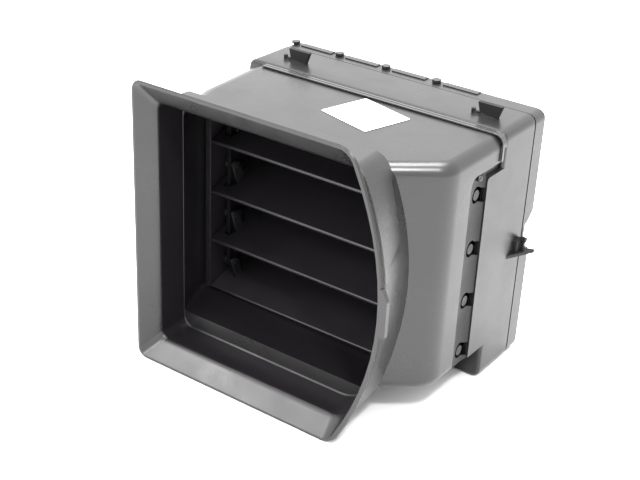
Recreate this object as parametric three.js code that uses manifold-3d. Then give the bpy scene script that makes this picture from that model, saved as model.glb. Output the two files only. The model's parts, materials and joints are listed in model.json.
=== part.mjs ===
// Motor-driven air vent: a flared mouth and duct, a louvre of four linked slats in a cassette,
// a rear casing with a clipped-on cover, and a geared actuator on the left wall.
// Millimetres. X runs along the slats to the right, Y runs with the air to the rear, Z is up.
import * as THREE from 'three';
import { mergeVertices } from 'three/addons/utils/BufferGeometryUtils.js';
import Module from 'manifold-3d';

const wasm = await Module();
wasm.setup();

// ---------------------------------------------------------------- driving dimensions
const WALL = 2;                       // moulded wall thickness
const GAP = 0.3;                      // clearance between neighbouring pieces
const MOUTH_Y = -77;                  // front plane of the mouth rim
const LIP_Y = -69;                    // where the flared lip meets the collar
const COLLAR_Y = -48;                 // rear end of the collar
const CHEEK_Y = -49;                  // front end of the cheek and of the duct body, inside the collar's end
const DUCT_REAR_Y = 23.2;             // rear end of the front duct
const DUCT_LOW = 18.5;                // underside of the duct behind the collar
const DUCT_HIGH = 144.4;              // top of the duct behind the collar
const DUCT_RIGHT = 82.3;              // right face of the duct
const DIAGONAL_SLOPE = 0.85;          // run of the diagonal wall, Y per X
const DIAGONAL_CORNER_Y = -27;        // where the diagonal wall would reach the right face
const SHOULDER_R = 6.5;               // rounding of the duct's right and diagonal top edges
const CASING_HALF_WIDTH = 82.5;
const CASING_HIGH = 145.6;
const CASING_FRONT_Y = 23.6;
const SEAM_Y = 55;                    // joint between rear casing and rear cover
const SEAM_GAP = 1.1;                 // the open line that shows at that joint
const REAR_Y = 66.4;                  // rearmost face of the cover
const RIVET_X = [-78.6, -47.3, -15.6, 17.4];
const RIVET_Y = 63.4;
const PITCH = 30;                     // slat spacing
const SLAT_COUNT = 4;
const TOP_PIVOT_Z = 119.5;            // axis of the uppermost slat, on Y = 0
const SLAT_TILT = 18.3;               // rest angle in degrees, front edge down
const SLAT_FRONT = 23.3;              // pivot to front edge
const SLAT_REAR = 18;                 // pivot to rear edge
const SLAT_HALF_LENGTH = 70.2;
const PIN_R = 2.8;                    // slat pivot radius
const PIN_END_X = 81.2;               // right pivots end in the windows of the duct wall
const CHEEK_IN = 71;                  // cassette side walls, inner and outer faces
const CHEEK_OUT = 74.5;
const LINK_Y = -12;                   // link pin, from its slat's pivot, at rest
const LINK_Z = 8;
const LINK_BAR_X = [-65.6, -63.4];    // link bar faces
const LINK_PIN_R = 1.15;
const LUG_X = [-62.3, -60.3];         // slat lug faces
const RECESS_X = 79.9;                // floor of the shallow channel in the duct's right face
const STRIP_X = [80.2, 81.9];         // bearing strip that lies in the channel
const ACTUATOR_X = -83.2;             // face of the actuator nearest the duct
const MOUNT_SCREWS = [[-14, 66], [48, 48], [48, 86]];  // Y and Z of the screws that hold the actuator
const GEAR_MODULE = 0.8;
const WHEEL_TEETH = 40;
const PINION_TEETH = 10;
const DRIVEN_SLAT = 3;                // the slat that the actuator turns
const ORIGIN_X = -7;                  // centre of the overall box, in these coordinates
const ORIGIN_Y = -5.3;

// ---------------------------------------------------------------- materials
function plastic(color, roughness) {
  return new THREE.MeshStandardMaterial({ color, roughness, metalness: 0 });
}
function metal(color, roughness) {
  return new THREE.MeshStandardMaterial({ color, roughness, metalness: 1 });
}
const black = () => plastic(0x1b1b1d, 0.38);
const rubber = () => plastic(0x101011, 0.75);
const nylon = () => plastic(0xd9d6cc, 0.5);
const steel = () => metal(0xb5b7ba, 0.35);

// ---------------------------------------------------------------- solids
function toSolid(geometry) {
  geometry.deleteAttribute('normal');
  geometry.deleteAttribute('uv');
  const merged = mergeVertices(geometry, 1e-4);
  const vertProperties = new Float32Array(merged.attributes.position.array);
  const triVerts = new Uint32Array(merged.index.array);
  return new wasm.Manifold(new wasm.Mesh({ numProp: 3, vertProperties, triVerts }));
}
function toGeometry(solid) {
  const mesh = solid.getMesh();
  const geometry = new THREE.BufferGeometry();
  geometry.setAttribute('position', new THREE.BufferAttribute(new Float32Array(mesh.vertProperties), 3));
  geometry.setIndex(new THREE.BufferAttribute(new Uint32Array(mesh.triVerts), 1));
  geometry.computeVertexNormals();
  return geometry;
}
function box(x, y, z) {
  const geometry = new THREE.BoxGeometry(x[1] - x[0], y[1] - y[0], z[1] - z[0]);
  geometry.translate((x[0] + x[1]) / 2, (y[0] + y[1]) / 2, (z[0] + z[1]) / 2);
  return toSolid(geometry);
}
function rodX(radius, x, y, z, segments = 24) {
  const geometry = new THREE.CylinderGeometry(radius, radius, x[1] - x[0], segments);
  geometry.rotateZ(Math.PI / 2);
  geometry.translate((x[0] + x[1]) / 2, y, z);
  return toSolid(geometry);
}
function rodZ(radius, x, y, z, segments = 20) {
  const geometry = new THREE.CylinderGeometry(radius, radius, z[1] - z[0], segments);
  geometry.rotateX(Math.PI / 2);
  geometry.translate(x, y, (z[0] + z[1]) / 2);
  return toSolid(geometry);
}
// An outline through corner points, each rounded by its own radius.
function roundedShape(points, radius) {
  const shape = new THREE.Shape();
  const corners = points.map(([x, y]) => new THREE.Vector2(x, y));
  corners.forEach((corner, i) => {
    const before = corners[(i + corners.length - 1) % corners.length];
    const after = corners[(i + 1) % corners.length];
    const r = Array.isArray(radius) ? radius[i] : radius;
    const start = before.clone().sub(corner).setLength(r).add(corner);
    const end = after.clone().sub(corner).setLength(r).add(corner);
    if (i === 0) shape.moveTo(start.x, start.y);
    else shape.lineTo(start.x, start.y);
    if (r > 0) shape.quadraticCurveTo(corner.x, corner.y, end.x, end.y);
  });
  shape.closePath();
  return shape;
}
function extrude(shape, depth, bevel, curveSegments) {
  return new THREE.ExtrudeGeometry(shape, {
    depth: depth - 2 * bevel,
    bevelEnabled: bevel > 0,
    bevelSize: bevel,
    bevelThickness: bevel,
    bevelOffset: -bevel,
    bevelSegments: Math.max(3, Math.round(bevel * 1.2)),
    curveSegments,
  }).translate(0, 0, bevel);
}
// The shape's two axes are Y and Z, and it runs along X.
function extrudeX(shape, x, bevel = 0, curveSegments = 4) {
  const geometry = extrude(shape, x[1] - x[0], bevel, curveSegments);
  const basis = new THREE.Matrix4().makeBasis(
    new THREE.Vector3(0, 1, 0), new THREE.Vector3(0, 0, 1), new THREE.Vector3(1, 0, 0));
  return toSolid(geometry.applyMatrix4(basis).translate(x[0], 0, 0));
}
// The shape's two axes are X and Z, and it runs along Y.
function extrudeY(shape, y, bevel = 0, curveSegments = 4) {
  const geometry = extrude(shape, y[1] - y[0], bevel, curveSegments);
  const basis = new THREE.Matrix4().makeBasis(
    new THREE.Vector3(1, 0, 0), new THREE.Vector3(0, 0, 1), new THREE.Vector3(0, -1, 0));
  return toSolid(geometry.applyMatrix4(basis).translate(0, y[1], 0));
}
function extrudeZ(shape, z, bevel = 0, curveSegments = 4) {
  return toSolid(extrude(shape, z[1] - z[0], bevel, curveSegments).translate(0, 0, z[0]));
}
function rectangle(x, y) {
  return [[x[0], y[0]], [x[1], y[0]], [x[1], y[1]], [x[0], y[1]]];
}
function union(solids) {
  return solids.reduce((sum, solid) => sum.add(solid));
}

// One closed ring of the duct's section: a rounded rectangle whose right side bows outwards and may lean.
const CORNER_STEPS = 6;
const SIDE_STEPS = 14;
function sectionRing(section, inset = 0) {
  const { y, bulge = 0, lean = 0, radii } = section;
  const left = section.left + inset;
  const right = section.right - inset;
  const low = section.low + inset;
  const high = section.high - inset;
  const [lowLeft, lowRight, highRight, highLeft] = radii.map((r) => Math.max(r - inset, 0.5));
  const points = [];
  const arc = (x, z, radius, from) => {
    for (let i = 0; i <= CORNER_STEPS; i++) {
      const angle = from + (i / CORNER_STEPS) * Math.PI / 2;
      points.push([x + radius * Math.cos(angle), z + radius * Math.sin(angle)]);
    }
  };
  arc(left + lowLeft, low + lowLeft, lowLeft, Math.PI);
  arc(right - lowRight, low + lowRight, lowRight, -Math.PI / 2);
  for (let i = 1; i < SIDE_STEPS; i++) {
    const t = i / SIDE_STEPS;
    points.push([right, low + lowRight + t * (high - highRight - low - lowRight)]);
  }
  arc(right - highRight, high - highRight, highRight, 0);
  arc(left + highLeft, high - highLeft, highLeft, Math.PI / 2);
  const middle = (low + high) / 2;
  const half = (high - low) / 2;
  return points.map(([x, z]) => {
    const onRight = x > right - Math.max(lowRight, highRight) - 1e-6;
    const rise = (z - middle) / half;
    const bow = onRight ? bulge * (1 - rise ** 2) + lean * rise : 0;
    return new THREE.Vector3(x + bow, y, z);
  });
}
// Rings that round the bend at ring b of the three, starting and ending this share of the way to its neighbours.
function bend(a, b, c, share, steps = 4) {
  const rings = [];
  for (let k = 0; k <= steps; k++) {
    const t = k / steps;
    rings.push(b.map((corner, i) => {
      const start = corner.clone().lerp(a[i], share[0]);
      const end = corner.clone().lerp(c[i], share[1]);
      return start.lerp(corner, t).lerp(corner.clone().lerp(end, t), t);
    }));
  }
  return rings;
}
// A solid skinned over rings that all have the same number of points, front to rear.
function loft(rings) {
  const count = rings[0].length;
  const positions = rings.flat().flatMap((p) => [p.x, p.y, p.z]);
  const index = [];
  for (let r = 0; r < rings.length - 1; r++) {
    for (let i = 0; i < count; i++) {
      const a = r * count + i;
      const b = r * count + (i + 1) % count;
      index.push(a, b + count, b, a, a + count, b + count);
    }
  }
  [0, rings.length - 1].forEach((r) => {
    const centre = new THREE.Vector3();
    rings[r].forEach((p) => centre.add(p));
    centre.divideScalar(count);
    const hub = positions.length / 3;
    positions.push(centre.x, centre.y, centre.z);
    for (let i = 0; i < count; i++) {
      const a = r * count + i;
      const b = r * count + (i + 1) % count;
      if (r === 0) index.push(a, b, hub);
      else index.push(b, a, hub);
    }
  });
  const geometry = new THREE.BufferGeometry();
  geometry.setAttribute('position', new THREE.Float32BufferAttribute(positions, 3));
  geometry.setIndex(index);
  return toSolid(geometry);
}

// ---------------------------------------------------------------- front duct
const rim = {
  y: MOUTH_Y, left: -76.6, right: 56.1, low: 0, high: 162, bulge: 22.4, lean: 1.3, radii: [6, 6, 7, 6],
};
const lip = { y: LIP_Y, left: -68.5, right: 57, low: 9.5, high: 150.5, bulge: 19, radii: [6, 10, 4.5, 5] };
const collar = {
  y: COLLAR_Y, left: -67.6, right: 58, low: 9.5, high: 150.5, bulge: 13.2, radii: [8, 16, 7, 5],
};
const cheekFront = {
  y: CHEEK_Y, left: 0, right: 60.7, low: DUCT_LOW, high: DUCT_HIGH - 0.8, bulge: 10.6, radii: [2, 4, 6, 2],
};
const cheekRear = { ...cheekFront, y: -35.5, right: 57.8, bulge: 10.8 };
const bodyFront = {
  y: CHEEK_Y, left: -67.2, right: DUCT_RIGHT, low: DUCT_LOW, high: DUCT_HIGH, radii: [4, 2.5, 4, 8],
};
const bodyMiddle = { ...bodyFront, y: -25, left: -77.2, radii: [5, 2.5, 4, 12] };
const bodyRear = { ...bodyFront, y: DUCT_REAR_Y, left: -81, radii: [5, 2.5, 4, 12] };

// Plan outline of the duct behind the collar, with the diagonal wall moved in by inset.
function planOutline(inset, right, frontY, rearY) {
  const shift = inset * Math.hypot(1, DIAGONAL_SLOPE);
  const diagonalY = (x) => DIAGONAL_CORNER_Y + shift + DIAGONAL_SLOPE * (x - DUCT_RIGHT);
  const frontX = DUCT_RIGHT + (frontY - DIAGONAL_CORNER_Y - shift) / DIAGONAL_SLOPE;
  const points = [[-90, frontY], [frontX, frontY], [right, diagonalY(right)], [right, rearY], [-90, rearY]];
  return roundedShape(points, [0, 0, 7, 0, 0]);
}
function pivotZ(number) {
  return TOP_PIVOT_Z - (number - 1) * PITCH;
}
// A window in the duct's right face: a round seat for the pivot and a square entry behind it.
function windowCutter(z) {
  const seat = rodX(4.5, [RECESS_X - 4, RECESS_X + 3], 0.2, z, 20);
  const entry = roundedShape([[2, z - 4.1], [8.6, z - 6.6], [8.6, z + 1.4], [2, z + 3.6]], 0.4);
  return seat.add(extrudeX(entry, [RECESS_X - 4, RECESS_X + 3]));
}
const DOME_AT = [0.1, 128.9];           // Y and Z of the small dome at the strip's top
// The strip over the pivots, hollowed a little along its length, with the same windows.
function makeBearingStrip() {
  const outline = extrudeX(roundedShape(rectangle([-7.6, 8], [21.4, 130.6]), [5, 1, 6, 6]), STRIP_X);
  const hollow = rodZ(40, STRIP_X[1] + 39.2, 0.5, [10, 140], 160);
  const windows = [];
  for (let n = 1; n <= SLAT_COUNT; n++) windows.push(windowCutter(pivotZ(n)));
  const dome = new THREE.SphereGeometry(1.65, 16, 12);
  dome.translate(STRIP_X[1] - 0.05, DOME_AT[0], DOME_AT[1]);
  return outline.subtract(hollow).add(toSolid(dome)).subtract(union(windows));
}
const TAB_X = 81.4;                     // right edge of the tab beside the rim
function makeFrontDuct() {
  const rimEdge = { ...rim, y: MOUTH_Y + 0.7 };
  const edgeRing = sectionRing(rimEdge);
  const collarRing = sectionRing(collar);
  const funnel = loft([
    sectionRing(rim, 0.6), edgeRing, ...bend(edgeRing, sectionRing(lip), collarRing, [0.22, 0.08]), collarRing,
  ]);
  const cheek = loft([sectionRing(cheekFront), sectionRing(cheekRear)]);
  const plan = extrudeZ(planOutline(0, DUCT_RIGHT, -60, DUCT_REAR_Y + 12), [DUCT_LOW, DUCT_HIGH], SHOULDER_R);
  const body = loft([sectionRing(bodyFront), sectionRing(bodyMiddle), sectionRing(bodyRear)]).intersect(plan);
  const outer = union([funnel, cheek, body]);

  const rimMouth = { ...rim, y: MOUTH_Y - 1 };
  const lipInner = { ...lip, y: LIP_Y + 0.8 };
  const collarInner = { ...collar, y: COLLAR_Y - WALL };
  const innerEdge = sectionRing(rim, 1.9);
  const innerFoot = sectionRing({ ...collarInner, y: collarInner.y - 0.7 }, WALL);
  const mouthCavity = loft([
    sectionRing(rimMouth, 1.6), innerEdge,
    ...bend(innerEdge, sectionRing(lipInner, WALL), innerFoot, [0.26, 0.1]), innerFoot,
    sectionRing(collarInner, WALL + 0.7),
  ]);
  const tabShape = roundedShape([[74, 73], [TAB_X, 73], [TAB_X, 92], [TAB_X - 3, 98], [74, 98]], 0.6);
  const tab = extrudeY(tabShape, [MOUTH_Y, MOUTH_Y + 2.4]);
  const innerRight = DUCT_RIGHT - 3.5;
  const bodyCavity = loft([
    sectionRing({ ...bodyFront, y: COLLAR_Y - 3 }, WALL),
    sectionRing(bodyMiddle, WALL),
    sectionRing({ ...bodyRear, y: DUCT_REAR_Y + 2 }, WALL),
  ]).intersect(extrudeZ(planOutline(WALL, innerRight, -52, 40), [0, 160]));
  const cheekCavity = loft([
    sectionRing({ ...cheekFront, y: COLLAR_Y - 3 }, WALL), sectionRing({ ...cheekRear, y: -37 }, WALL),
  ]);
  const channelPoints = [[-8, 21], [40, 21], [40, 131], [-8, 131]];
  const channel = extrudeX(roundedShape(channelPoints, [5, 0, 0, 6]), [RECESS_X, DUCT_RIGHT + 3]);
  const shaftHole = rodX(4, [-84, -74], 0, pivotZ(DRIVEN_SLAT));
  const boss = rodX(4.5, [ACTUATOR_X + GAP, -76.5], ...MOUNT_SCREWS[0]);
  const bossBore = rodX(1.6, [ACTUATOR_X - 1, -78.2], ...MOUNT_SCREWS[0], 12);
  const windows = [];
  for (let n = 1; n <= SLAT_COUNT; n++) windows.push(windowCutter(pivotZ(n)));
  const cuts = [mouthCavity, bodyCavity, cheekCavity, channel, shaftHole, bossBore, ...windows];
  return union([outer, tab, boss]).subtract(union(cuts));
}

// A soft sealing strip over the joint of duct and casing, with a groove along its crown.
function makeJointSeal() {
  const outer = extrudeY(roundedShape(rectangle([-69, 83.4], [131.5, 145.5]), [0, 0, 6.6, 0]), [19.2, 23.2]);
  const inner = extrudeY(roundedShape(rectangle([-80, 82.65], [120, 144.75]), [0, 0, 5.8, 0]), [18, 24]);
  const groove = box([-80, 90], [20.9, 21.5], [145, 146]);
  const sideRelief = box([82, 90], [20.8, 24], [120, 138.8]);
  return outer.subtract(inner).subtract(groove).subtract(sideRelief);
}

// ---------------------------------------------------------------- rear casing and cover
function makeHook(x) {
  const flare = roundedShape([[x - 4.8, 145], [x + 4.8, 145], [x + 7.4, 152.4], [x - 6.6, 152.4]], 0.4);
  const tongue = extrudeY(flare, [36.5, 39]);
  const spur = box([x - 9.6, x - 4.5], [36.5, 38.1], [145, 147]);
  const knob = rodZ(1.2, x - 9.2, 37.3, [145, 148], 10);
  return union([tongue, spur, knob]);
}
function makeSideCatch() {
  const ledge = extrudeZ(roundedShape([[82, 39], [90.4, 56.4], [90.4, 57.9], [82, 54.5]], 0.3), [68, 69.7]);
  const web = box([82, 86.4], [51.5, 53.4], [69.4, 74.6]);
  const stop = box([82, 84.6], [46.5, 53.4], [69.4, 76.4]);
  const knob = rodX(1.5, [84, 87.2], 52.2, 76.2, 12);
  return union([ledge, web, stop, knob]);
}
// A frame that runs round inside the casing, its outer and inner faces this far in from the casing's outline.
function casingBand(outerInset, innerInset, y) {
  const ring = (inset, radius, span) => {
    const half = CASING_HALF_WIDTH - inset;
    return extrudeY(roundedShape(rectangle([-half, half], [inset, CASING_HIGH - inset]), radius), span);
  };
  return ring(outerInset, 2.2, y).subtract(ring(innerInset, 1.4, [y[0] - 1, y[1] + 1]));
}
function makeRearCasing() {
  const half = CASING_HALF_WIDTH;
  const outline = roundedShape(rectangle([-half, half], [0, CASING_HIGH]), 5.6);
  const rear = box([-90, 90], [SEAM_Y, SEAM_Y + 20], [-5, 150]);
  const shell = extrudeY(outline, [CASING_FRONT_Y, SEAM_Y + 10], 2.4).subtract(rear);
  const cavity = extrudeY(roundedShape(rectangle([-half + 2.2, half - 2.2], [2.2, CASING_HIGH - 2.2]), 2.5),
    [CASING_FRONT_Y + 2.2, SEAM_Y + 1]);
  const passage = extrudeY(roundedShape(rectangle([-78.4, 78.4], [20.8, 142]), 3), [CASING_FRONT_Y - 1, 40]);
  const panelShape = roundedShape(rectangle([8.3, CASING_FRONT_Y + 4], [21.4, 126]), [1, 0, 0, 2]);
  const panel = extrudeX(panelShape, [STRIP_X[0], half]);
  const screwBores = MOUNT_SCREWS.slice(1).map(([y, z]) => rodX(1.6, [-84, -79], y, z, 12));
  const tongue = casingBand(2.75, 3.9, [SEAM_Y - 4, SEAM_Y + 3.6]).add(casingBand(2, 3.9, [SEAM_Y - 4, SEAM_Y]));
  const details = [tongue, panel, makeHook(-57), makeHook(64.5), makeSideCatch()];
  return union([shell.subtract(cavity).subtract(passage), ...details]).subtract(union(screwBores));
}
function makeRearCover() {
  const half = CASING_HALF_WIDTH;
  const high = CASING_HIGH - 0.3;
  const outline = roundedShape(rectangle([-half, half], [0.3, high]), 5.6);
  const shell = extrudeY(outline, [SEAM_Y + SEAM_GAP, REAR_Y]);
  const cavity = extrudeY(roundedShape(rectangle([-half + 2.2, half - 2.2], [2.5, high - 2.2]), 3),
    [SEAM_Y, REAR_Y - 2.2]);
  const opening = extrudeY(roundedShape(rectangle([-half + 12, half - 12], [12, high - 12]), 6), [40, 80]);
  const crown = union(RIVET_X.map((x) => box([x + 5.2, x + 26.5], [61.2, 65.6], [high - 0.5, high + 0.6])));
  const catchNotch = extrudeX(
    roundedShape([[54, 65], [68, 65], [68, 89.5], [61, 82.5], [54, 79.5]], 0.4), [79, 90]);
  const rivetBores = union(RIVET_X.map((x) => rodZ(1.9, x, RIVET_Y, [140, 150], 12)));
  return shell.subtract(cavity).subtract(opening).add(crown).subtract(catchNotch).subtract(rivetBores);
}
function makeRivet(x) {
  const head = rodZ(2.6, x, RIVET_Y, [CASING_HIGH + 0.05, CASING_HIGH + 1.5], 16);
  return head.add(rodZ(1.6, x, RIVET_Y, [CASING_HIGH - 5, CASING_HIGH + 0.5], 12));
}

// ---------------------------------------------------------------- louvre cassette, bushes, slats
const BUSH_R = 4.2;
function makeCassette() {
  const z = [DUCT_LOW + WALL + 0.4, DUCT_HIGH - WALL - 0.4];
  const railY = [21, 24.4];
  const parts = [-1, 1].map((side) => {
    const x = side > 0 ? [CHEEK_IN, CHEEK_OUT] : [-CHEEK_OUT, -CHEEK_IN];
    return extrudeX(roundedShape(rectangle([-22, railY[1]], z), [1, 0, 0, 6]), x);
  });
  const corner = extrudeY(roundedShape(rectangle([-CHEEK_OUT, CHEEK_OUT], z), [1, 1, 1, 13]), [-30, 30]);
  parts.push(box([-CHEEK_OUT, CHEEK_OUT], railY, [z[0], z[0] + 5]));
  parts.push(box([-CHEEK_OUT, CHEEK_OUT], railY, [z[1] - 5, z[1]]));
  const bores = [];
  for (let n = 1; n <= SLAT_COUNT; n++) bores.push(rodX(BUSH_R + 0.12, [-80, 80], 0, pivotZ(n), 18));
  return union(parts).intersect(corner).subtract(union(bores));
}
// A flanged bush pressed into a cassette wall, its flange against the slat.
function makeBush(side, z) {
  const inFace = side * (CHEEK_IN - 0.05);
  const outFace = side * (CHEEK_OUT + 0.2);
  const flangeFace = side * (CHEEK_IN - 0.55);
  const sorted = (a, b) => [Math.min(a, b), Math.max(a, b)];
  const sleeve = rodX(BUSH_R, sorted(flangeFace, outFace), 0, z, 18);
  const flange = rodX(5.4, sorted(flangeFace, inFace), 0, z, 18);
  return sleeve.add(flange).subtract(rodX(PIN_R + 0.16, [-90, 90], 0, z, 18));
}
// A slat about its own pivot axis, lying level: Y runs to the rear edge and Z is up.
function makeSlat(number) {
  const blade = roundedShape(
    [[-SLAT_FRONT, -1.15], [0, -1.35], [SLAT_REAR, -0.8], [SLAT_REAR, 0.8], [0, 1.35], [-SLAT_FRONT, 1.15]],
    [1, 0, 0.7, 0.7, 0, 1]);
  const length = [-SLAT_HALF_LENGTH, SLAT_HALF_LENGTH];
  const parts = [extrudeX(blade, length, 0, 3)];
  const leftEnd = number === DRIVEN_SLAT ? -96.5 : -CHEEK_OUT - 0.6;
  parts.push(rodX(PIN_R, [leftEnd, -SLAT_HALF_LENGTH + 3], 0, 0));
  parts.push(rodX(PIN_R, [SLAT_HALF_LENGTH - 3, PIN_END_X], 0, 0));
  parts.push(rodX(3.7, [-SLAT_HALF_LENGTH, -SLAT_HALF_LENGTH + 3.4], 0, 0, 16));
  parts.push(rodX(3.7, [SLAT_HALF_LENGTH - 5, SLAT_HALF_LENGTH], 0, 0, 16));
  const [u, v] = lugPoint();
  const lug = roundedShape([[u - 3, 0], [u + 3, 0], [u + 2.2, v + 2.3], [u - 2.2, v + 2.3]], [0, 0, 2, 2]);
  parts.push(extrudeX(lug, LUG_X));
  let slat = union(parts).subtract(rodX(LINK_PIN_R + 0.15, [LUG_X[0] - 1, LUG_X[1] + 1], u, v, 12));
  if (number < SLAT_COUNT) {
    slat = slat.subtract(box([LINK_BAR_X[0] - 0.9, LINK_BAR_X[1] + 0.9], [-16.6, -0.4], [-5, 5]));
  }
  return slat;
}
// The lug hole in the slat's own level position.
function lugPoint() {
  const tilt = THREE.MathUtils.degToRad(SLAT_TILT);
  return [
    LINK_Y * Math.cos(tilt) + LINK_Z * Math.sin(tilt),
    -LINK_Y * Math.sin(tilt) + LINK_Z * Math.cos(tilt),
  ];
}
function makeLinkPin(z) {
  const head = rodX(2.3, [LINK_BAR_X[0] - 1.7, LINK_BAR_X[0] - 0.4], LINK_Y, z + LINK_Z, 16);
  return head.add(rodX(LINK_PIN_R, [LINK_BAR_X[0] - 1, LUG_X[1] + 0.6], LINK_Y, z + LINK_Z, 12));
}
function makeLinkBar() {
  const low = pivotZ(SLAT_COUNT) + LINK_Z;
  const high = pivotZ(1) + LINK_Z;
  const outline = roundedShape(rectangle([LINK_Y - 2.1, LINK_Y + 2.1], [low - 2.4, high + 2.4]), 1.6);
  const bores = [];
  for (let n = 1; n <= SLAT_COUNT; n++) {
    bores.push(rodX(LINK_PIN_R + 0.35, [LINK_BAR_X[0] - 1, LINK_BAR_X[1] + 1], LINK_Y, pivotZ(n) + LINK_Z, 12));
  }
  return extrudeX(outline, LINK_BAR_X).subtract(union(bores));
}

// ---------------------------------------------------------------- back-draught flaps
const FLAP_FRAME_Y = [26.1, 28.1];
const FLAP_PIVOT_Y = 29.2;
const FLAP_ROWS = [1, 2, 3];
const FLAP_PITCH = 40;
const FLAP_TOP_PIVOT_Z = 139.1;
const FLAP_HALF_LENGTH = 74;
function flapPivotZ(row) {
  return FLAP_TOP_PIVOT_Z - (row - 1) * FLAP_PITCH;
}
function makeFlapFrame() {
  const plate = extrudeY(roundedShape(rectangle([-80, 80], [2.5, 143.1]), 4), FLAP_FRAME_Y);
  const parts = [plate];
  const cuts = [];
  FLAP_ROWS.forEach((row) => {
    const z = flapPivotZ(row);
    cuts.push(extrudeY(roundedShape(rectangle([-72, 72], [z - 36.6, z - 1.6]), 1.5), [20, 40]));
    [-1, 1].forEach((side) => {
      const x = [side * 76.2 - 1.2, side * 76.2 + 1.2];
      parts.push(box(x, [FLAP_FRAME_Y[0] + 1, FLAP_PIVOT_Y + 2.6], [z - 2.6, z + 2.6]));
    });
    cuts.push(rodX(1.3, [-79, 79], FLAP_PIVOT_Y, z, 12));
  });
  return union(parts).subtract(union(cuts));
}
// A light flap that hangs from its own pins and closes one row of the frame.
function makeFlap(row) {
  const z = flapPivotZ(row);
  const y = FLAP_PIVOT_Y;
  const section = roundedShape([[y - 0.7, z - 38.1], [y + 0.7, z - 38.1], [y + 0.7, z + 0.9], [y - 0.7, z + 0.9]], 0.5);
  const plate = extrudeX(section, [-FLAP_HALF_LENGTH, FLAP_HALF_LENGTH], 0, 2);
  const pins = [-1, 1].map((side) => {
    const ends = [side * (FLAP_HALF_LENGTH - 2), side * (FLAP_HALF_LENGTH + 3.8)].sort((a, b) => a - b);
    return rodX(1.15, ends, y, z, 12);
  });
  const rib = box([-60, 60], [y + 0.3, y + 1.9], [z - 20.6, z - 19.4]);
  return union([plate, ...pins, rib]);
}

// ---------------------------------------------------------------- actuator
const OUTPUT_AXIS = [0, pivotZ(DRIVEN_SLAT)];
const REDUCTION_AXIS = [14, OUTPUT_AXIS[1] + Math.sqrt(20 ** 2 - 14 ** 2)];
const MOTOR_AXIS = [REDUCTION_AXIS[0] + 18, REDUCTION_AXIS[1] - Math.sqrt(20 ** 2 - 18 ** 2)];
const CASE_Y = [-20, 44];
const CASE_Z = [40, 94];
const CASE_FLOOR = [ACTUATOR_X - 1.4, ACTUATOR_X];
const CASE_RIM_X = -101;
const COVER_X = [-103, CASE_RIM_X - GAP];
const LOW_LAYER = [-91.4, -87];       // output gear and the pinion that drives it
const HIGH_LAYER = [-97, -94];        // reduction wheel and motor pinion

// A spur gear outline about its axis; phase turns it, in teeth.
function gearShape(teeth, phase) {
  const pitchRadius = GEAR_MODULE * teeth / 2;
  const shape = new THREE.Shape();
  const step = 2 * Math.PI / teeth;
  const flank = [[pitchRadius - 1.05 * GEAR_MODULE, 0.33], [pitchRadius + 0.85 * GEAR_MODULE, 0.11]];
  for (let i = 0; i < teeth; i++) {
    const middle = (i + phase) * step;
    const outline = [...flank.map(([r, w]) => [r, -w]), ...flank.toReversed()];
    outline.forEach(([r, w], k) => {
      const x = r * Math.cos(middle + w * step);
      const y = r * Math.sin(middle + w * step);
      if (i === 0 && k === 0) shape.moveTo(x, y);
      else shape.lineTo(x, y);
    });
  }
  shape.closePath();
  return shape;
}
function gear(teeth, phase, x, axis) {
  return extrudeX(gearShape(teeth, phase), x).translate(0, axis[0], axis[1]);
}
// The phase that puts a gap of the second gear where the first gear's tooth points at it.
function meshPhase(teeth, otherTeeth, otherPhase, from, to) {
  const towards = Math.atan2(to[1] - from[1], to[0] - from[0]) / (2 * Math.PI);
  const toothOffset = otherPhase - towards * otherTeeth;
  const back = towards + 0.5;
  return back * teeth + 0.5 + (Math.ceil(toothOffset) - toothOffset);
}
const OUTPUT_PHASE = 0;
const PINION_PHASE = meshPhase(PINION_TEETH, WHEEL_TEETH, OUTPUT_PHASE, OUTPUT_AXIS, REDUCTION_AXIS);
const WHEEL_PHASE = 0;
const MOTOR_PHASE = meshPhase(PINION_TEETH, WHEEL_TEETH, WHEEL_PHASE, REDUCTION_AXIS, MOTOR_AXIS);

function makeOutputGear() {
  const hub = rodX(5.5, [LOW_LAYER[0] - 2, LOW_LAYER[1] + 1.6], ...OUTPUT_AXIS);
  return gear(WHEEL_TEETH, OUTPUT_PHASE, LOW_LAYER, OUTPUT_AXIS).add(hub)
    .subtract(rodX(PIN_R + 0.3, [-100, -80], ...OUTPUT_AXIS));
}
function makeReductionGear() {
  const wheel = gear(WHEEL_TEETH, WHEEL_PHASE, HIGH_LAYER, REDUCTION_AXIS);
  const pinion = gear(PINION_TEETH, PINION_PHASE, [HIGH_LAYER[0], LOW_LAYER[1]], REDUCTION_AXIS);
  return wheel.add(pinion).subtract(rodX(1.45, [-100, -80], ...REDUCTION_AXIS, 12));
}
function makeReductionAxle() {
  return rodX(1.2, [-99.4, CASE_FLOOR[0] - 0.2], ...REDUCTION_AXIS, 12);
}
function makeMotorPinion() {
  const shaft = rodX(1, [-98.2, -92.6], ...MOTOR_AXIS, 12);
  return gear(PINION_TEETH, MOTOR_PHASE, [-97.4, -93.6], MOTOR_AXIS).add(shaft);
}
function makeMotor() {
  const can = rodX(8.8, [-92, CASE_FLOOR[0] - 0.2], ...MOTOR_AXIS, 28);
  const collarRing = rodX(2.4, [-92.9, -91.5], ...MOTOR_AXIS, 16);
  return can.add(collarRing).subtract(rodX(1.35, [-95, -89], ...MOTOR_AXIS, 12));
}
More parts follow.
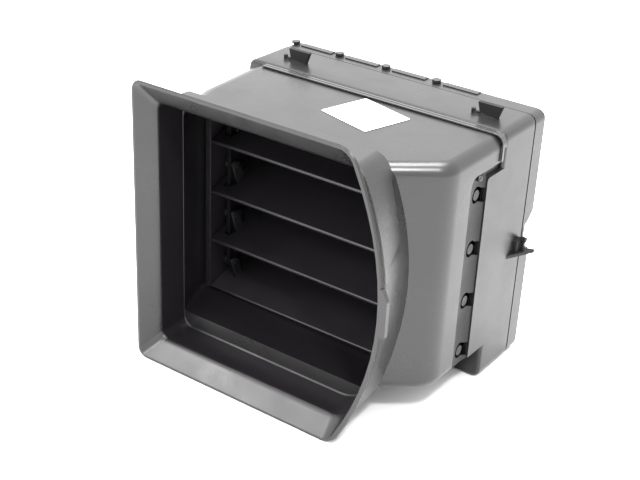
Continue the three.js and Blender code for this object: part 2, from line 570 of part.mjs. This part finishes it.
function makeActuatorBase() {
  const outer = extrudeX(roundedShape(rectangle(CASE_Y, CASE_Z), 5), [CASE_RIM_X, ACTUATOR_X], 0, 3);
  const inside = rectangle([CASE_Y[0] + 1.8, CASE_Y[1] - 1.8], [CASE_Z[0] + 1.8, CASE_Z[1] - 1.8]);
  const cavity = extrudeX(roundedShape(inside, 3.4), [CASE_RIM_X - 2, CASE_FLOOR[0]], 0, 3);
  const lugs = MOUNT_SCREWS.slice(1).map(([y, z]) => rodX(4.6, [ACTUATOR_X - 3, ACTUATOR_X], y, z, 20)
    .add(box([ACTUATOR_X - 3, ACTUATOR_X], [CASE_Y[1] - 1.4, y], [z - 4.6, z + 4.6])));
  const bores = MOUNT_SCREWS.map(([y, z]) => rodX(1.9, [-90, -80], y, z, 12));
  bores.push(rodX(PIN_R + 0.4, [-90, -80], ...OUTPUT_AXIS));
  const socket = box([-99, -88], [CASE_Y[1] - 3, CASE_Y[1] + 1], [60, 76]);
  return union([outer.subtract(cavity), ...lugs]).subtract(union([...bores, socket]));
}
function makeActuatorCover() {
  const plate = extrudeX(roundedShape(rectangle(CASE_Y, CASE_Z), 5), COVER_X, 0.8, 3);
  const window = rodX(2, [-104, -100], ...OUTPUT_AXIS, 16);
  const bores = coverScrewPlaces().map(([y, z]) => rodX(1.3, [-105, -100], y, z, 10));
  return plate.subtract(union([window, ...bores]));
}
function coverScrewPlaces() {
  return [CASE_Y[0] + 4.6, CASE_Y[1] - 4.6].flatMap((y) => [CASE_Z[0] + 4.6, CASE_Z[1] - 4.6].map((z) => [y, z]));
}
function makeCoverScrew([y, z]) {
  const slot = box([-104.6, -104], [y - 3, y + 3], [z - 0.4, z + 0.4]);
  return rodX(2.4, [-104.4, COVER_X[0] - 0.1], y, z, 16).add(rodX(1.05, [-103.2, -93], y, z, 10)).subtract(slot);
}
function makeMountScrew([y, z], tip) {
  const headX = y < 0 ? CASE_FLOOR[0] : ACTUATOR_X - 3;
  return rodX(3, [headX - 2, headX - 0.15], y, z, 16).add(rodX(1.3, [headX - 0.5, tip], y, z, 10));
}
function makeConnector() {
  const shell = extrudeX(roundedShape(rectangle([CASE_Y[1] - 2.4, CASE_Y[1] + 10], [60.4, 75.6]), 1), [-98.6, -88.4]);
  const mouth = box([-97.2, -89.8], [CASE_Y[1] + 1, CASE_Y[1] + 12], [61.8, 74.2]);
  return shell.subtract(mouth);
}
function makeBoard() {
  const plate = box([-100.6, -99.6], [-16, 40.4], [44, 90]);
  const relief = rodX(6.5, [-102, -98], ...OUTPUT_AXIS);
  const corners = coverScrewPlaces().map(([y, z]) => rodX(4, [-102, -98], y, z, 12));
  return plate.subtract(union([relief, ...corners]));
}

// ---------------------------------------------------------------- label
function makeLabel() {
  const centre = new THREE.Vector2(14.5, -1.5);
  const turn = THREE.MathUtils.degToRad(-15);
  const outline = rectangle([-17.2, 17.2], [-15.2, 15.2]).map(([x, y]) => {
    const p = new THREE.Vector2(x, y).rotateAround(new THREE.Vector2(0, 0), turn).add(centre);
    return [p.x, p.y];
  });
  return extrudeZ(roundedShape(outline, 0.8), [DUCT_HIGH + 0.12, DUCT_HIGH + 0.37]);
}

// ---------------------------------------------------------------- assembly
const group = new THREE.Group();
group.position.set(-ORIGIN_X, -ORIGIN_Y, 0);
function place(name, solid, material, parent = group) {
  const mesh = new THREE.Mesh(toGeometry(solid), material);
  mesh.name = name;
  parent.add(mesh);
  return mesh;
}

place('front_duct', makeFrontDuct(), black());
place('bearing_strip', makeBearingStrip(), black());
place('joint_seal', makeJointSeal(), rubber());
place('rear_casing', makeRearCasing(), black());
place('rear_cover', makeRearCover(), black());
RIVET_X.forEach((x, i) => place(`cover_rivet_${i + 1}`, makeRivet(x), black()));
place('louvre_cassette', makeCassette(), black());
place('blank_label', makeLabel(), plastic(0xf4f4f2, 0.6));

for (let n = 1; n <= SLAT_COUNT; n++) {
  const z = pivotZ(n);
  const slat = place(`slat_${n}`, makeSlat(n), black());
  slat.position.z = z;
  slat.rotation.x = THREE.MathUtils.degToRad(SLAT_TILT);
  place(`link_pin_${n}`, makeLinkPin(z), nylon());
  place(`pivot_bush_left_${n}`, makeBush(-1, z), nylon());
  place(`pivot_bush_right_${n}`, makeBush(1, z), nylon());
}
place('link_bar', makeLinkBar(), black());
place('flap_frame', makeFlapFrame(), black());
FLAP_ROWS.forEach((row) => place(`flap_${row}`, makeFlap(row), black()));

place('actuator_base', makeActuatorBase(), black());
place('actuator_cover', makeActuatorCover(), black());
place('circuit_board', makeBoard(), plastic(0x1f5a34, 0.5));
place('connector_socket', makeConnector(), black());
place('motor', makeMotor(), steel());
place('motor_pinion', makeMotorPinion(), steel());
place('reduction_gear', makeReductionGear(), nylon());
place('reduction_axle', makeReductionAxle(), steel());
place('output_gear', makeOutputGear(), nylon());
coverScrewPlaces().forEach((at, i) => place(`cover_screw_${i + 1}`, makeCoverScrew(at), steel()));
MOUNT_SCREWS.forEach((at, i) => {
  place(`mount_screw_${i + 1}`, makeMountScrew(at, i === 0 ? -79.4 : -80.6), steel());
});

export default group;
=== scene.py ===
import json
import math

import bpy
from mathutils import Matrix, Vector


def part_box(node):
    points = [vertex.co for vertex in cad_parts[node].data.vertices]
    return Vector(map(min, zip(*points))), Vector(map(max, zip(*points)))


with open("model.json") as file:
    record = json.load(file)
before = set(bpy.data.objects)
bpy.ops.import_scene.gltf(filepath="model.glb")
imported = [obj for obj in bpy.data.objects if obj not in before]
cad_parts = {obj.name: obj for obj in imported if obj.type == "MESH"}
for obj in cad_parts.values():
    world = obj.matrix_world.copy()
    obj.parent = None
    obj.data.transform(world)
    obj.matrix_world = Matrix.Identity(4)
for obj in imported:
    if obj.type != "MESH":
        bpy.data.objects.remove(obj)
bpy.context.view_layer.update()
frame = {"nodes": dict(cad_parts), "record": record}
nodes = frame["nodes"]
MM = 0.001

# ------------------------------------------------------------------ places taken from the frame
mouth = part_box("front_duct")[0].y
seal_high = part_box("joint_seal")[1]
bar_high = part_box("link_bar")[1]
cover_low, cover_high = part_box("rear_cover")
middle = (cover_low + cover_high) / 2


# ------------------------------------------------------------------ materials
def add(tree, kind, **settings):
    node = tree.nodes.new(kind)
    for name, value in settings.items():
        setattr(node, name, value)
    return node


def noise(tree, coordinates, scale, detail=2.0, roughness=0.5):
    node = add(tree, "ShaderNodeTexNoise")
    node.inputs["Scale"].default_value = scale
    node.inputs["Detail"].default_value = detail
    node.inputs["Roughness"].default_value = roughness
    tree.links.new(coordinates, node.inputs["Vector"])
    return node.outputs["Fac"]


def ramp(tree, source, low, high, at=(0.4, 0.6)):
    node = add(tree, "ShaderNodeMapRange", clamp=True)
    node.inputs["From Min"].default_value = at[0]
    node.inputs["From Max"].default_value = at[1]
    node.inputs["To Min"].default_value = low
    node.inputs["To Max"].default_value = high
    tree.links.new(source, node.inputs["Value"])
    return node.outputs["Result"]


GRAIN_SIZE = 0.35                     # millimetres
GRAIN_DEPTH = 0.05
DUST_LIGHTER = 0.02                   # how much paler than the plastic the dust is


def plastic(name, colour, roughness, grain=0.25, handling=0.06, specular=0.5):
    """Moulded plastic: spark-eroded grain, soft handling marks in the gloss, a trace of pale dust."""
    material = bpy.data.materials.new(name)
    material.use_nodes = True
    tree = material.node_tree
    shader = tree.nodes["Principled BSDF"]
    shader.inputs["Specular IOR Level"].default_value = specular
    place = add(tree, "ShaderNodeTexCoord").outputs["Object"]

    marks = noise(tree, place, 38, 5, 0.62)
    gloss = ramp(tree, marks, roughness - handling, roughness + handling, (0.3, 0.7))
    tree.links.new(gloss, shader.inputs["Roughness"])

    dust = ramp(tree, noise(tree, place, 900, 2, 0.5), 0.0, 1.0, (0.66, 0.78))
    patches = ramp(tree, noise(tree, place, 55, 3, 0.6), 0.0, 0.5, (0.5, 0.72))
    amount = add(tree, "ShaderNodeMath", operation="MULTIPLY")
    tree.links.new(dust, amount.inputs[0])
    tree.links.new(patches, amount.inputs[1])
    mix = add(tree, "ShaderNodeMix", data_type="RGBA")
    mix.inputs["A"].default_value = (*colour, 1)
    mix.inputs["B"].default_value = (*[c + DUST_LIGHTER for c in colour], 1)
    tree.links.new(amount.outputs[0], mix.inputs["Factor"])
    tree.links.new(mix.outputs["Result"], shader.inputs["Base Color"])

    bump = add(tree, "ShaderNodeBump")
    bump.inputs["Strength"].default_value = grain
    bump.inputs["Distance"].default_value = GRAIN_DEPTH * MM
    tree.links.new(noise(tree, place, 1 / (GRAIN_SIZE * MM), 2, 0.5), bump.inputs["Height"])
    tree.links.new(bump.outputs["Normal"], shader.inputs["Normal"])
    return material


def metal(name, colour, roughness):
    material = bpy.data.materials.new(name)
    material.use_nodes = True
    tree = material.node_tree
    shader = tree.nodes["Principled BSDF"]
    shader.inputs["Base Color"].default_value = (*colour, 1)
    shader.inputs["Metallic"].default_value = 1.0
    place = add(tree, "ShaderNodeTexCoord").outputs["Object"]
    gloss = ramp(tree, noise(tree, place, 400, 4, 0.6), roughness - 0.07, roughness + 0.1, (0.3, 0.7))
    tree.links.new(gloss, shader.inputs["Roughness"])
    return material


def floor_paint():
    material = bpy.data.materials.new("pale_floor")
    material.use_nodes = True
    shader = material.node_tree.nodes["Principled BSDF"]
    shader.inputs["Base Color"].default_value = (0.74, 0.74, 0.74, 1)
    shader.inputs["Roughness"].default_value = 0.6
    return material


DUCT = plastic("duct_plastic", (0.0078, 0.0075, 0.0075), 0.3, grain=0.08, specular=0.56)
# darker, less reflective copy of the duct plastic: painted shade for the duct's inside
DUCT_INSIDE_SHADED = plastic("duct_inside_painted_shade", (0.0066, 0.0056, 0.0070), 0.36, grain=0.12, specular=0.3)
HOUSING = plastic("housing_plastic", (0.0088, 0.0085, 0.0084), 0.31, grain=0.2, specular=0.45)
SLAT = plastic("slat_plastic", (0.0088, 0.0076, 0.0092), 0.4, grain=0.2)
# low reflectance stands in for the shade in the strip's recessed channel: painted shade
STRIP_SHADED = plastic("strip_plastic", (0.008, 0.008, 0.0083), 0.5, grain=0.2, specular=0.17)
FLAP = plastic("flap_plastic", (0.0068, 0.0058, 0.0072), 0.5, grain=0.2, specular=0.3)
# darker, duller plastic for the hooks and the catch: painted shade
HOOK_SHADED = plastic("hook_painted_shade", (0.005, 0.005, 0.0052), 0.55, grain=0.2, specular=0.22)
# near-black plastic as painted shade: link bar, slat lugs and the cover's seam edge
SHADE_BLACK = plastic("painted_shade_black", (0.003, 0.003, 0.0032), 0.5, grain=0.1, specular=0.12)
# darker plastic for the pivot ends in their recessed windows: painted shade
PIN_END_SHADED = plastic("pin_end_painted_shade", (0.006, 0.006, 0.006), 0.5, grain=0.3, specular=0.3)
SEAL = plastic("seal_rubber", (0.010, 0.010, 0.0105), 0.2, grain=0.05, specular=0.75)
BUSH = plastic("bush_nylon", (0.010, 0.010, 0.010), 0.45, grain=0.05, specular=0.3)
LINK_PIN = plastic("link_pin_plastic", (0.006, 0.006, 0.0062), 0.3, grain=0.05, specular=0.3)
GEAR = plastic("gear_nylon", (0.74, 0.71, 0.64), 0.4, grain=0.05, handling=0.04)
BOARD = plastic("board_green", (0.02, 0.14, 0.05), 0.35, grain=0.1)
STEEL = metal("screw_steel", (0.56, 0.57, 0.58), 0.3)
MOTOR = metal("motor_steel", (0.60, 0.61, 0.62), 0.34)
BRASS = metal("pinion_brass", (0.78, 0.58, 0.27), 0.3)
LABEL = plastic("label_white", (0.84, 0.84, 0.83), 0.45, grain=0.06, handling=0.04)
FLOOR = floor_paint()
by_slot = {
    "duct_plastic": DUCT, "housing_plastic": HOUSING, "slat_plastic": SLAT, "seal_rubber": SEAL,
    "bush_nylon": BUSH, "link_pin_plastic": LINK_PIN, "gear_nylon": GEAR, "board_green": BOARD,
    "strip_plastic": STRIP_SHADED, "flap_plastic": FLAP,
    "screw_steel": STEEL, "motor_steel": MOTOR, "pinion_brass": BRASS, "label_white": LABEL,
}


# ------------------------------------------------------------------ CAD nodes: materials and soft edges
EDGE = {"front_duct": 0.5, "rear_casing": 0.6, "rear_cover": 0.6, "louvre_cassette": 0.35, "joint_seal": 0.25}
SMALL_EDGE = 0.2
SHARP_ANGLE = 28                      # degrees; steps of a round surface stay below it


def soften(piece, width):
    """Merges the facets of each flat face, then rounds every sharp edge by width in millimetres.

    The duct's bowed surfaces turn so little from facet to facet that hardly any may be merged there.
    """
    bowed = piece == nodes["front_duct"]
    mesh = piece.data
    if "custom_normal" in mesh.attributes:
        mesh.attributes.remove(mesh.attributes["custom_normal"])
    for polygon in mesh.polygons:
        polygon.use_smooth = True
    weld = piece.modifiers.new("weld", "WELD")
    weld.merge_threshold = 0.002 * MM
    flat = piece.modifiers.new("flat", "DECIMATE")
    flat.decimate_type = "DISSOLVE"
    flat.angle_limit = math.radians(0.02 if bowed else 0.6)
    flat.delimit = {"MATERIAL"}
    edge = piece.modifiers.new("edge", "BEVEL")
    edge.width = width * MM
    edge.segments = 3
    edge.limit_method = "ANGLE"
    edge.angle_limit = math.radians(SHARP_ANGLE)
    edge.miter_outer = "MITER_ARC"
    shade = piece.modifiers.new("shade", "WEIGHTED_NORMAL")
    shade.weight = 50 if bowed else 60


# the link bar is painted near-black as painted shade
painted_shade_parts = {"link_bar": SHADE_BLACK}
for item in frame["record"]["subparts"]:
    name = item["node"]
    materials = nodes[name].data.materials
    materials.clear()
    materials.append(painted_shade_parts.get(name, by_slot[item["material_slot"]]))
    soften(nodes[name], EDGE.get(name, SMALL_EDGE))


def repaint(node, material, chosen):
    """Gives the faces whose centre, in the shared frame, passes the test a further material."""
    mesh = nodes[node].data
    place = nodes[node].matrix_world
    mesh.materials.append(material)
    for polygon in mesh.polygons:
        if chosen(place @ polygon.center, polygon.normal):
            polygon.material_index = len(mesh.materials) - 1


# The hooks and the catch stand clear of the casing's top and right faces; they get a darker, duller plastic
# as painted shade.
CLEAR = 0.4 * MM
repaint("rear_casing", HOOK_SHADED, lambda c, n: c.z > cover_high.z + CLEAR or c.x > cover_high.x + CLEAR)

# The cover's front edge in the open seam is painted near-black as painted shadow, and the strip's dome keeps
# the duct's glossier plastic, without the strip's painted shade.
strip_face = seal_high.x - 1.3 * MM
repaint("rear_cover", SHADE_BLACK, lambda c, n: n.y < -0.9 and c.y < cover_low.y + 1 * MM)
repaint("bearing_strip", DUCT, lambda c, n: c.x > strip_face)

# Behind the flared lip the duct's inside gets a darker, less reflective copy of the plastic as painted shade.
LIP_DEPTH = 9 * MM


def inside_duct(centre, normal):
    faces_middle = (middle - centre).dot((normal.x, 0, normal.z)) > 0
    return centre.y > mouth + LIP_DEPTH and faces_middle


repaint("front_duct", DUCT_INSIDE_SHADED, inside_duct)

# Each slat's lug, beside the link bar, and the end of its right-hand pivot are darker than the blade: painted
# shade.
bpy.context.view_layer.update()
LUG = (0.8 * MM, 3.6 * MM)            # the lug's sides, from the bar's right face
LUG_DROP = 9 * MM                     # from the slat's highest point down to the lug
PIVOT_END = 5 * MM
for number in (1, 2, 3, 4):
    slat = f"slat_{number}"
    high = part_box(slat)[1]
    repaint(slat, SHADE_BLACK, lambda c, n: LUG[0] < c.x - bar_high.x < LUG[1] and c.z < high.z - LUG_DROP)
    repaint(slat, PIN_END_SHADED, lambda c, n: c.x > high.x - PIVOT_END)


# ------------------------------------------------------------------ floor, light and camera
def make_floor():
    mesh = bpy.data.meshes.new("floor")
    half = 6
    corners = [(-half, -half, 0), (half, -half, 0), (half, half, 0), (-half, half, 0)]
    mesh.from_pydata(corners, [], [(0, 1, 2, 3)])
    floor = bpy.data.objects.new("floor", mesh)
    floor.location.z = -0.02 * MM
    mesh.materials.append(FLOOR)
    bpy.context.scene.collection.objects.link(floor)


def area_light(name, place, aim, size, power):
    light = bpy.data.lights.new(name, "AREA")
    light.shape = "RECTANGLE"
    light.size, light.size_y = size
    light.energy = power
    lamp = bpy.data.objects.new(name, light)
    lamp.location = place
    lamp.rotation_euler = (Vector(aim) - Vector(place)).to_track_quat("-Z", "Y").to_euler()
    bpy.context.scene.collection.objects.link(lamp)


def make_light():
    world = bpy.data.worlds.new("studio")
    world.use_nodes = True
    background = world.node_tree.nodes["Background"]
    background.inputs["Color"].default_value = (1, 1, 1, 1)
    background.inputs["Strength"].default_value = 2.5
    bpy.context.scene.world = world
    area_light("overhead", (-0.1, 0.1, 1.3), (0, 0, 0.1), (0.9, 0.7), 40)
    area_light("front_left", (-0.85, -0.95, 1.05), (0, 0, 0.05), (0.5, 0.5), 9)
    area_light("key", (0.69, -0.61, 1.25), (0, 0, 0.1), (0.14, 0.14), 20)
    area_light("low_front", (-0.30, -1.05, 0.54), (0.02, -0.07, 0.03), (0.26, 0.26), 5)
    bpy.context.scene.view_settings.view_transform = "Standard"


def make_camera():
    """The photograph's viewpoint: azimuth, elevation and roll in degrees, place in metres."""
    azimuth, elevation, roll = 34.71, 27.23, 2.83
    data = bpy.data.cameras.new("camera")
    data.lens = 70.14
    data.sensor_width = 36
    camera = bpy.data.objects.new("camera", data)
    aim = Matrix.Rotation(math.radians(azimuth), 4, "Z")
    aim = aim @ Matrix.Rotation(math.radians(90 - elevation), 4, "X")
    aim = aim @ Matrix.Rotation(math.radians(roll), 4, "Z")
    camera.matrix_world = Matrix.Translation((0.3434, -0.4960, 0.3774)) @ aim
    bpy.context.scene.collection.objects.link(camera)
    bpy.context.scene.camera = camera


make_floor()
make_light()
make_camera()
